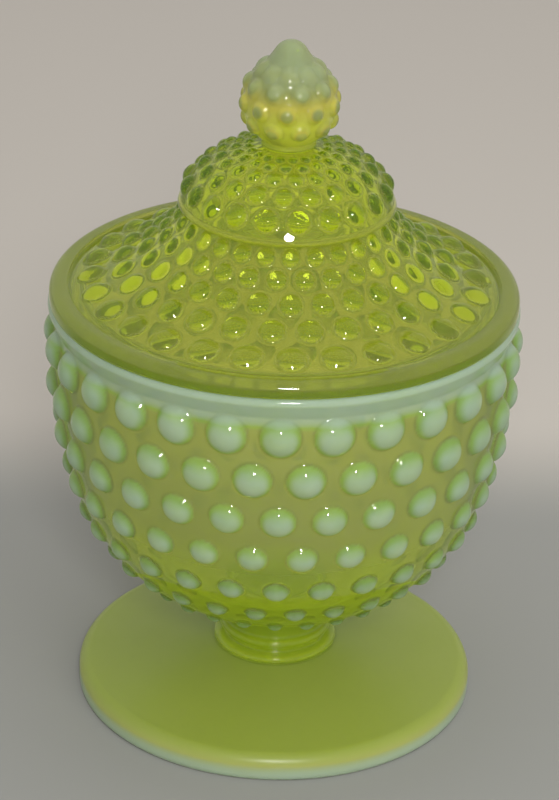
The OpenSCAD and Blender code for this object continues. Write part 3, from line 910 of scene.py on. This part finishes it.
class DISH_OT_lid(bpy.types.Operator):
    """Build the clear lid with its hobnailed skirt and crown"""

    bl_idname = "dish.lid"
    bl_label = "Build lid"

    def execute(self, context):
        dish = context.scene.candy_dish
        size, glass, milk = dish.lid, dish.glass, dish.milk
        rim_z = BOWL_TOP.z
        seat_z = rim_z + HAIR
        band_z, crown_z = rim_z + size.band_height, rim_z + size.skirt_height
        skirt_low = np.array([size.radius - size.band_width, band_z - size.band_step])
        skirt_top = np.array([size.skirt_top, crown_z])
        chord = np.linalg.norm(skirt_top - skirt_low)
        out = np.array([skirt_top[1] - skirt_low[1], skirt_low[0] - skirt_top[0]]) / chord
        skirt_c = (skirt_low + skirt_top) / 2 + math.sqrt(size.skirt_arc ** 2 - chord ** 2 / 4) * out
        start = math.atan2(skirt_low[1] - skirt_c[1], skirt_low[0] - skirt_c[0])
        sweep = 2 * math.asin(chord / (2 * size.skirt_arc))

        crown_c = np.array([size.crown_offset, crown_z - size.crown_drop])
        neck_r = dish.knob.neck
        knob_z = crown_c[1] + math.sqrt(size.crown_arc ** 2 - (neck_r - crown_c[0]) ** 2)
        edge_a = math.asin(size.crown_drop / size.crown_arc)
        top_a = math.acos((neck_r - crown_c[0]) / size.crown_arc)
        edge_r = crown_c[0] + size.crown_arc * math.cos(edge_a)

        skirt_first, skirt_last = start - sweep * size.skirt_first, start - sweep * size.skirt_last
        skirt_path = (skirt_c, size.skirt_arc, skirt_first, skirt_last, math.pi)
        skirt_rings = shrinking_rings(
            skirt_path, size.skirt_hobs, size.skirt_rows, size.skirt_shrink, size.skirt_fill,
            glass.hob_rise, FRONT + size.turn,
        )
        crown_path = (crown_c, size.crown_arc, size.crown_first, size.crown_last, 0.0)
        crown_rings = shrinking_rings(
            crown_path, size.crown_hobs, size.crown_rows, size.crown_shrink, size.crown_fill,
            glass.hob_rise, FRONT + size.turn + size.crown_turn,
        )

        inner_arc = size.skirt_arc + size.wall
        inner_top = skirt_c[0] - math.sqrt(inner_arc ** 2 - (skirt_c[1] - crown_z) ** 2)
        dome_h = knob_z - size.wall - crown_z
        dome_r = (inner_top ** 2 + dome_h ** 2) / (2 * dome_h)
        dome_c = (0, crown_z + dome_h - dome_r)
        mouth_r = size.locator_radius - size.locator_width
        inner_from = math.atan2(crown_z - skirt_c[1], inner_top - skirt_c[0])
        inner_to = math.atan2(-math.sqrt(inner_arc ** 2 - (skirt_c[0] - mouth_r) ** 2), mouth_r - skirt_c[0])
        inner_end = skirt_c + inner_arc * np.array([math.cos(inner_to), math.sin(inner_to)])
        locator_z = rim_z - size.locator_height
        dome = arc(dome_c, dome_r, math.pi / 2, math.atan2(crown_z - dome_c[1], inner_top))
        inner = along(
            arc(skirt_c, inner_arc, inner_from, inner_to),
            line(inner_end, (mouth_r, locator_z)),
            line((mouth_r, locator_z), (size.locator_radius, locator_z)),
            line((size.locator_radius, locator_z), (size.locator_radius, seat_z)),
            line((size.locator_radius, seat_z), (size.radius, seat_z)),
        )
        band_c = (size.radius - size.band_round, band_z - size.band_round)
        band = along(
            line((size.radius, seat_z), (size.radius, band_c[1]), FINE_STEP),
            arc(band_c, size.band_round, 0, math.pi / 2, FINE_STEP),
            line((band_c[0], band_z), (skirt_low[0], band_z), FINE_STEP),
            line((skirt_low[0], band_z), skirt_low, FINE_STEP),
        )
        skirt = arc(skirt_c, size.skirt_arc, start, start - sweep, FINE_STEP)
        skirt_out = (skirt_c - skirt) / size.skirt_arc
        bead_c = (edge_r - size.crown_bead, crown_z)
        ledge = along(
            line(skirt_top, (bead_c[0] - size.crown_bead, crown_z), FINE_STEP),
            arc(bead_c, size.crown_bead, math.pi, 2 * math.pi, FINE_STEP),
        )
        crown = arc(crown_c, size.crown_arc, edge_a, top_a, FINE_STEP)
        crown_out = (crown - crown_c) / size.crown_arc
        zones = [
            Zone(dome[1:4], CORE, "inside"),
            Zone(dome[4:-1], PLAIN, "inside"),
            Zone(inner, PLAIN, "inside"),
            Zone(band[1:-1], FINE, "band"),
            Zone(skirt, FINE, "skirt", skirt_out, skirt_rings),
            Zone(ledge[1:-1], PLAIN, "ledge"),
            Zone(crown, PLAIN, "crown", crown_out, crown_rings),
            Zone(np.array([(neck_r / 2, knob_z)]), CORE, "joint"),
        ]
        mesh, parts, on_hob, _ = turned_glass("hobnail_lid", (dome[0][1], knob_z), zones, glass.hob_fillet)
        z, r = heights(mesh)
        # The foot of each lid hobnail gets a painted glint line: more milk, in the pale glint colour
        rise = ramp(on_hob, 0.0, 0.10)
        core = ramp(on_hob, 0.12, 0.40)
        lowest = ramp(z, band_z + 0.010, band_z + 0.002)
        opal = milk.lid + milk.lid_painted_glint_line * rise - (milk.lid_core - milk.lid_low_core * lowest) * core
        strike = HAZE + (LEAF - HAZE) * rise - LEAF * (1 - 0.4 * lowest) * core
        low_band = ramp(z, seat_z + 0.0028, seat_z + 0.0018)
        # The seat under the band is made milky to dim the light carried through the band: painted shade
        seat = (parts == "inside") & (r > size.locator_radius - HAIR) & (z > seat_z - HAIR)
        parts = np.where(seat, "seat", parts)
        places = [parts == "joint", parts == "inside", parts == "seat", parts == "band"]
        mark(mesh, "opal", np.select(places, [0.0, 0.0, milk.seat, milk.band], opal))
        mark(mesh, "strike", np.select(places, [0.0, 0.0, 0.0, milk.band_strike * (1 - low_band)], strike))
        stages = (glass.lid_glow, glass.lid_haze, glass.lid_painted_glint_line, glass.opal)
        material = opalescent_glass(
            "lid_clear_glass", glass, stages, clouded=(50.0, 0.15), finish=(0.004, 0.015),
        )
        add_piece(mesh, material, "lid", "lid")
        return {"FINISHED"}


class DISH_OT_knob(bpy.types.Operator):
    """Build the ball knob, milky above and clear below"""

    bl_idname = "dish.knob"
    bl_label = "Build knob"

    def execute(self, context):
        dish = context.scene.candy_dish
        size, glass, milk = dish.knob, dish.glass, dish.milk
        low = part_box("knob")[0].z + HAIR
        centre = np.array([0, low - HAIR - size.sink + size.radius])
        rings = []
        for k in range(size.rows):
            a = size.first + k * size.step
            way = np.array([math.cos(a), math.sin(a)])
            room = 2 * math.pi * size.radius * way[0] / size.hobs
            width = min(size.hob_width, size.hob_fill * room)
            turned = FRONT + dish.lid.turn + size.turn + (k % 2) * math.pi / size.hobs
            height = size.hob_height * (1 - size.top_melt * (k / (size.rows - 1)) ** 2)
            rings.append(HobRing(size.hobs, centre + size.radius * way, a, width, height, turned))
        neck_c, neck_a = inner_fillet(size.neck, centre, size.radius, size.neck_round)
        neck = along(
            line((size.neck, low), (size.neck, neck_c[1])),
            arc(neck_c, size.neck_round, math.pi, math.pi + neck_a, FINE_STEP),
        )
        tip_r = (size.top_width ** 2 / 4 + size.top_height ** 2) / (2 * size.top_height)
        crest = centre[1] + size.radius + size.top_height
        rise = crest - tip_r - centre[1]
        reach = size.radius + size.top_fillet
        cos_meet = (reach ** 2 + rise ** 2 - (tip_r + size.top_fillet) ** 2) / (2 * reach * rise)
        meet = math.pi / 2 - math.acos(cos_meet)
        fillet_c = centre + reach * np.array([math.cos(meet), math.sin(meet)])
        tip_a = math.atan2(fillet_c[1] - centre[1] - rise, fillet_c[0])
        ball = arc(centre, size.radius, neck_a, meet, FINE_STEP)
        outward = (ball - centre) / size.radius
        fillet = arc(fillet_c, size.top_fillet, math.pi + meet, math.pi + tip_a, FINE_STEP)
        fillet_out = (fillet_c - fillet) / size.top_fillet
        tip = arc(centre + np.array([0, rise]), tip_r, tip_a, math.pi / 2, FINE_STEP)
        zones = [
            Zone(np.array([(size.neck / 2, low)]), CORE, "joint"),
            Zone(neck[:1], NARROW, "joint"),
            Zone(neck[1:-1], NARROW, "neck"),
            Zone(ball, NARROW, "ball", outward, rings),
            Zone(fillet[1:], NARROW, "fillet", fillet_out[1:], rings),
            Zone(tip[1:-4], NARROW, "tip"),
            Zone(tip[-4:-1], CORE, "tip"),
        ]
        mesh, parts, on_hob, _ = turned_glass("hobnail_knob", (low, crest), zones, size.hob_fillet)
        z, _ = heights(mesh)
        above = ramp(z, centre[1] - 0.004, centre[1] + 0.010)
        tips = ramp(on_hob, 0.2, 0.9) * (1 - above)
        opal = milk.knob + milk.knob_upper * above + milk.knob_tips * tips
        mark(mesh, "opal", np.where(parts == "joint", 0.0, opal))
        mark(mesh, "strike", milk.knob_strike * above + milk.knob_tip_strike * tips)
        stages = (glass.knob_glow, glass.knob_amber, glass.haze, glass.opal)
        material = opalescent_glass(
            "knob_opal_glass", glass, stages, clouded=(70.0, 0.25), finish=(0.006, 0.025),
        )
        add_piece(mesh, material, "lid", "knob")
        return {"FINISHED"}


def soft_light(name, place, width, power, tint, shows):
    """A round soft light that faces the middle of the dish, and that may show in its glass."""
    lamp = bpy.data.lights.new(name, "AREA")
    lamp.shape = "DISK"
    lamp.size = width
    lamp.energy = power
    lamp.color = tint
    light = bpy.data.objects.new(name, lamp)
    light.location = place
    light.rotation_euler = (DISH_MIDDLE - Vector(place)).to_track_quat("-Z", "Y").to_euler()
    light.visible_glossy = shows
    light.visible_transmission = shows
    bpy.context.scene.collection.objects.link(light)
    return light


def floor_material(look):
    """A plain pale sweep, a little lighter behind the dish."""
    mat = bpy.data.materials.new("pale_sweep")
    mat.use_nodes = True
    tree = mat.node_tree
    skin = tree.nodes["Principled BSDF"]
    skin.inputs["Roughness"].default_value = 0.7
    back = step_node(tree, axis_node(tree, "Object", "Y"), look.far_from, look.far_full, soft=True)
    tree.links.new(blend_node(tree, back, look.floor_near, look.floor_far), skin.inputs["Base Color"])
    return mat


def pale_room(look):
    """Even light from all round, a little warmer from behind and stronger where it is seen through glass."""
    world = bpy.data.worlds.new("pale_room")
    world.use_nodes = True
    tree = world.node_tree
    light = tree.nodes["Background"]
    back = step_node(tree, axis_node(tree, "Generated", "Y"), look.room_from, look.room_full, soft=True)
    tree.links.new(blend_node(tree, back, look.room_front, look.room_back), light.inputs["Color"])
    path = tree.nodes.new("ShaderNodeLightPath")
    level = change_node(tree, path.outputs["Is Transmission Ray"], 1.0, look.room_through)
    tree.links.new(level, light.inputs["Strength"])
    return world


class DISH_OT_stage(bpy.types.Operator):
    """Set the floor, the soft light and the camera"""

    bl_idname = "dish.stage"
    bl_label = "Set stage"

    def execute(self, context):
        look = context.scene.candy_dish.stage
        scene = context.scene
        mesh = bpy.data.meshes.new("studio_floor")
        half = 4.0
        corners = [(-half, -half, 0), (half, -half, 0), (half, half, 0), (-half, half, 0)]
        mesh.from_pydata(corners, [], [(0, 1, 2, 3)])
        mesh.materials.append(floor_material(look))
        floor = bpy.data.objects.new("studio_floor", mesh)
        floor.location.z = -HAIR
        scene.collection.objects.link(floor)

        soft_light("top_softbox", (0.15, 0.1, 1.5), width=2.0, power=8.5, tint=SOFT_WHITE, shows=False)
        soft_light("front_softbox", (0.6, -1.2, 0.9), width=1.4, power=10.5, tint=SOFT_WHITE, shows=False)
        soft_light("camera_lamp", (0.05, -0.86, 0.58), width=0.16, power=4.0, tint=WHITE, shows=True)

        scene.world = pale_room(look)

        data = bpy.data.cameras.new("view_camera")
        data.sensor_width = 36.0
        data.lens = look.lens
        camera = bpy.data.objects.new("view_camera", data)
        lean = Matrix.Rotation(look.roll, 4, "Z")
        tilt = Matrix.Rotation(math.pi / 2 - look.pitch, 4, "X")
        camera.matrix_world = Matrix.Translation(look.place) @ tilt @ lean
        scene.collection.objects.link(camera)
        scene.camera = camera
        scene.view_settings.view_transform = "Standard"
        return {"FINISHED"}


class DISH_PT_panel(bpy.types.Panel):
    """Settings and build steps of the dish"""

    bl_idname = "DISH_PT_panel"
    bl_label = "Hobnail candy dish"
    bl_space_type = "VIEW_3D"
    bl_region_type = "UI"
    bl_category = "Candy dish"

    def draw(self, context):
        dish = context.scene.candy_dish
        for operator in OPERATORS:
            self.layout.operator(operator.bl_idname)
        for group in ("foot", "collar", "bowl", "lid", "knob", "glass", "milk", "stage"):
            box = self.layout.box()
            box.label(text=group.capitalize())
            settings = getattr(dish, group)
            for name in settings.bl_rna.properties.keys():
                if name not in ("rna_type", "name"):
                    box.prop(settings, name)


OPERATORS = (DISH_OT_foot, DISH_OT_collar, DISH_OT_bowl, DISH_OT_lid, DISH_OT_knob, DISH_OT_stage)
SIZES = (FootSizes, CollarSizes, BowlSizes, LidSizes, KnobSizes)
SETTINGS = (*SIZES, GlassLook, MilkShares, StageLook, CandyDish)
CLASSES = (*SETTINGS, *OPERATORS, DISH_PT_panel)


def register():
    """Makes the settings, operators and panel known to Blender."""
    for cls in CLASSES:
        bpy.utils.register_class(cls)
    bpy.types.Scene.candy_dish = PointerProperty(type=CandyDish)


def unregister():
    """Takes the settings, operators and panel out again."""
    del bpy.types.Scene.candy_dish
    for cls in reversed(CLASSES):
        bpy.utils.unregister_class(cls)


def main():
    """Builds every piece and the stage."""
    register()
    bpy.ops.dish.foot()
    bpy.ops.dish.collar()
    bpy.ops.dish.bowl()
    bpy.ops.dish.lid()
    bpy.ops.dish.knob()
    bpy.ops.dish.stage()


if __name__ == "__main__":
    main()
